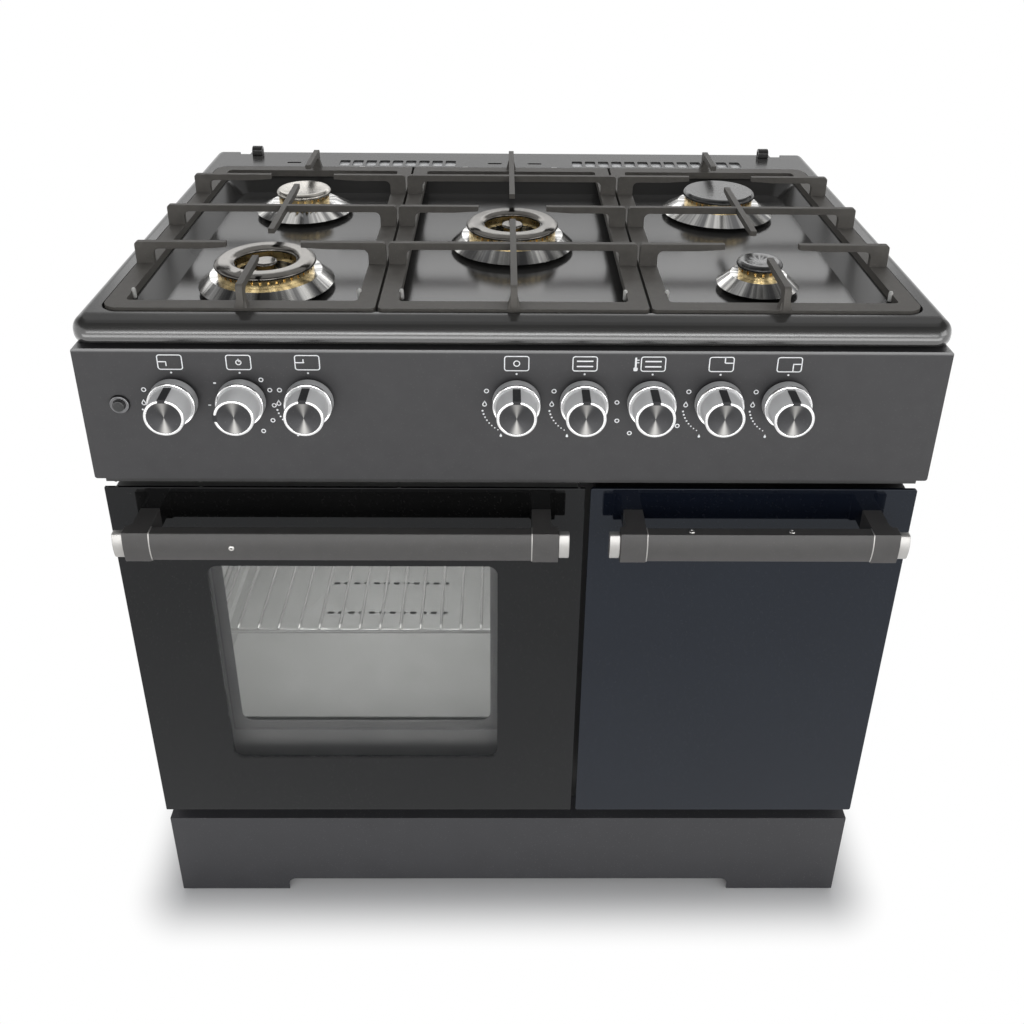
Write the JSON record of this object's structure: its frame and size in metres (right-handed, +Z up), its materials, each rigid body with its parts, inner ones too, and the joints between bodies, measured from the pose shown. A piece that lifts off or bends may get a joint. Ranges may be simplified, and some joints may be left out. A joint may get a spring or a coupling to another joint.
{
  "type": "gas cooker",
  "caption": "Free-standing gas cooker with a burner hob under cast-iron grates, a drop-down oven door, a gas-bottle compartment door, rotary knobs and a plinth.",
  "frame": {"origin": "floor level, at the middle of the overall width and depth", "axes": "+X to the right as seen from the front, +Y to the back, +Z up"},
  "size_m": [0.9, 0.662, 0.893],
  "materials": {
    "black_enamel": "satin",
    "zinc_steel": "satin",
    "grate_iron": "matte enamel",
    "cup_metal": "polished",
    "port_brass": "satin",
    "cap_enamel": "gloss enamel",
    "ceramic": "glazed",
    "window_glass": "clear window in a black border",
    "inner_pane": "clear",
    "black_glass": "opaque gloss",
    "oven_enamel": "gloss enamel",
    "seal_rubber": "matte",
    "rack_chrome": "bright",
    "handle_paint": "satin",
    "cap_silver": "satin",
    "knob_silver": "satin",
    "spindle_steel": "satin",
    "tap_brass": "cast",
    "pipe_metal": "satin",
    "switch_plastic": "moulded",
    "lamp_glass": "clear",
    "bezel_chrome": "bright",
    "button_plastic": "gloss",
    "foot_plastic": "moulded"
  },
  "bodies": {
    "cooker": {"base_tray": "zinc_steel", "left_side_panel": "black_enamel", "right_side_panel": "black_enamel", "back_panel": "zinc_steel", "plinth": "black_enamel", "levelling_feet": "foot_plastic", "hob_top": "black_enamel", "control_panel": "black_enamel", "face_frame": "black_enamel", "divider_wall": "zinc_steel", "oven_liner": "oven_enamel", "oven_door_seal": "seal_rubber", "oven_rack": "rack_chrome", "oven_floor_plate": "oven_enamel", "oven_burner": "zinc_steel", "grill_burner": "zinc_steel", "oven_lamp": "lamp_glass", "burner_cups": "cup_metal", "burner_rings": "port_brass", "burner_caps": "cap_enamel", "spark_plugs": "ceramic", "gas_rail": "zinc_steel", "gas_taps": "tap_brass", "gas_pipes": "pipe_metal", "switch_bodies": "switch_plastic", "lid_hinge_blocks": "black_enamel", "button_bezel": "bezel_chrome"},
    "oven_door": {"oven_door_glass": "window_glass", "oven_door_pan": "black_enamel", "oven_door_inner_glass": "inner_pane", "oven_handle_bar": "handle_paint", "oven_handle_brackets": "handle_paint", "oven_handle_caps": "cap_silver", "oven_door_hinges": "zinc_steel"},
    "bottle_door": {"bottle_door_glass": "black_glass", "bottle_door_pan": "black_enamel", "bottle_handle_bar": "handle_paint", "bottle_handle_brackets": "handle_paint", "bottle_handle_caps": "cap_silver", "bottle_door_hinges": "zinc_steel"},
    "ignition_button": {"ignition_button": "button_plastic"},
    "front_left_spindle": {"front_left_spindle": "spindle_steel"},
    "front_left_knob": {"front_left_knob": "knob_silver"},
    "timer": {"timer_spindle": "spindle_steel", "timer_knob": "knob_silver"},
    "rear_left_spindle": {"rear_left_spindle": "spindle_steel"},
    "rear_left_knob": {"rear_left_knob": "knob_silver"},
    "centre_spindle": {"centre_spindle": "spindle_steel"},
    "centre_knob": {"centre_knob": "knob_silver"},
    "oven_spindle": {"oven_spindle": "spindle_steel"},
    "oven_knob": {"oven_knob": "knob_silver"},
    "selector": {"selector_spindle": "spindle_steel", "selector_knob": "knob_silver"},
    "rear_right_spindle": {"rear_right_spindle": "spindle_steel"},
    "rear_right_knob": {"rear_right_knob": "knob_silver"},
    "front_right_spindle": {"front_right_spindle": "spindle_steel"},
    "front_right_knob": {"front_right_knob": "knob_silver"},
    "grate_left": {"grate_left": "grate_iron"},
    "grate_centre": {"grate_centre": "grate_iron"},
    "grate_right": {"grate_right": "grate_iron"}
  },
  "joints": [
    {"name": "oven_door_hinge", "type": "hinge", "parent": "cooker", "child": "oven_door", "pos_m": [-0.183, -0.255, 0.175], "axis": [1, 0, 0], "range_deg": [0, 90], "stiffness_Nm_per_rad": 8, "springref_deg": -20.05},
    {"name": "bottle_door_hinge", "type": "hinge", "parent": "cooker", "child": "bottle_door", "pos_m": [0.266, -0.255, 0.175], "axis": [1, 0, 0], "range_deg": [0, 90], "stiffness_Nm_per_rad": 5, "springref_deg": -20.05},
    {"name": "front_left_turn", "type": "hinge", "parent": "cooker", "child": "front_left_spindle", "pos_m": [-0.351, -0.309, 0.779], "axis": [0, -1, 0], "range_deg": [0, 210]},
    {"name": "front_left_push", "type": "slide", "parent": "front_left_spindle", "child": "front_left_knob", "axis": [0, 1, 0], "range_m": [0, 0.0035], "stiffness_N_per_m": 2000},
    {"name": "timer_turn", "type": "hinge", "parent": "cooker", "child": "timer", "pos_m": [-0.281, -0.309, 0.779], "axis": [0, -1, 0], "range_deg": [-240, 0]},
    {"name": "rear_left_turn", "type": "hinge", "parent": "cooker", "child": "rear_left_spindle", "pos_m": [-0.211, -0.309, 0.779], "axis": [0, -1, 0], "range_deg": [0, 210]},
    {"name": "rear_left_push", "type": "slide", "parent": "rear_left_spindle", "child": "rear_left_knob", "axis": [0, 1, 0], "range_m": [0, 0.0035], "stiffness_N_per_m": 2000},
    {"name": "centre_turn", "type": "hinge", "parent": "cooker", "child": "centre_spindle", "pos_m": [0.003, -0.309, 0.779], "axis": [0, -1, 0], "range_deg": [0, 210]},
    {"name": "centre_push", "type": "slide", "parent": "centre_spindle", "child": "centre_knob", "axis": [0, 1, 0], "range_m": [0, 0.0035], "stiffness_N_per_m": 2000},
    {"name": "oven_turn", "type": "hinge", "parent": "cooker", "child": "oven_spindle", "pos_m": [0.073, -0.309, 0.779], "axis": [0, -1, 0], "range_deg": [0, 210]},
    {"name": "oven_push", "type": "slide", "parent": "oven_spindle", "child": "oven_knob", "axis": [0, 1, 0], "range_m": [0, 0.0035], "stiffness_N_per_m": 2000},
    {"name": "selector_turn", "type": "hinge", "parent": "cooker", "child": "selector", "pos_m": [0.143, -0.309, 0.779], "axis": [0, -1, 0], "range_deg": [-120, 130]},
    {"name": "rear_right_turn", "type": "hinge", "parent": "cooker", "child": "rear_right_spindle", "pos_m": [0.213, -0.309, 0.779], "axis": [0, -1, 0], "range_deg": [0, 210]},
    {"name": "rear_right_push", "type": "slide", "parent": "rear_right_spindle", "child": "rear_right_knob", "axis": [0, 1, 0], "range_m": [0, 0.0035], "stiffness_N_per_m": 2000},
    {"name": "front_right_turn", "type": "hinge", "parent": "cooker", "child": "front_right_spindle", "pos_m": [0.283, -0.309, 0.779], "axis": [0, -1, 0], "range_deg": [0, 210]},
    {"name": "front_right_push", "type": "slide", "parent": "front_right_spindle", "child": "front_right_knob", "axis": [0, 1, 0], "range_m": [0, 0.0035], "stiffness_N_per_m": 2000},
    {"name": "ignition_push", "type": "slide", "parent": "cooker", "child": "ignition_button", "axis": [0, 1, 0], "range_m": [0, 0.003], "stiffness_N_per_m": 1000},
    {"name": "grate_left_lift", "type": "slide", "parent": "cooker", "child": "grate_left", "axis": [0, 0, 1], "range_m": [0, 0.06]},
    {"name": "grate_centre_lift", "type": "slide", "parent": "cooker", "child": "grate_centre", "axis": [0, 0, 1], "range_m": [0, 0.06]},
    {"name": "grate_right_lift", "type": "slide", "parent": "cooker", "child": "grate_right", "axis": [0, 0, 1], "range_m": [0, 0.06]}
  ]
}
